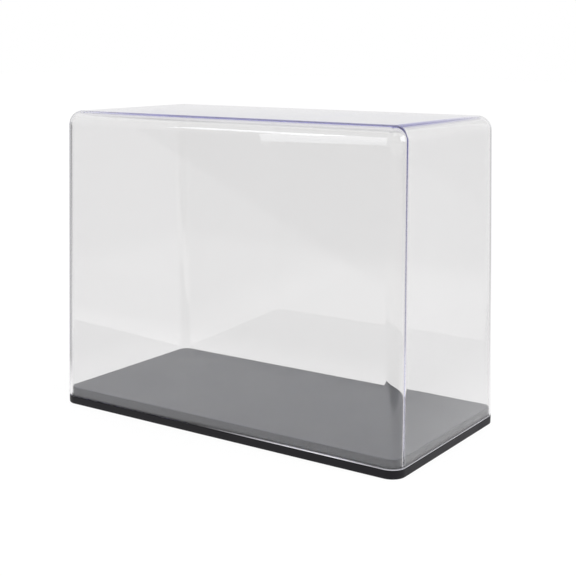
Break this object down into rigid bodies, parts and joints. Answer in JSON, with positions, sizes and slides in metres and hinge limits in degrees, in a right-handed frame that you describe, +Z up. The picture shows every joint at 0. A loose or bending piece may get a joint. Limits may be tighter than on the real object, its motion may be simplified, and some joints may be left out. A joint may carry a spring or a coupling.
{
  "type": "display case",
  "caption": "Clear rectangular hood with rounded edges and slightly leaning sides, which lifts off a low black moulded base with a raised display floor.",
  "frame": {"origin": "centre of the underside of the base, on the surface it stands on", "axes": "+X along the long side, +Y from the front to the back, +Z up"},
  "size_m": [0.24, 0.12, 0.182],
  "materials": {
    "base": "black polystyrene with a fine matt moulded texture",
    "clear_cover": "clear polished polystyrene with a faint violet-blue tint at the edges"
  },
  "bodies": {
    "base": {"base": "base"},
    "cover": {"clear_cover": "clear_cover"}
  },
  "joints": [
    {"name": "cover_lift", "type": "slide", "parent": "base", "child": "cover", "axis": [0, 0, 1], "range_m": [0, 0.2]}
  ]
}
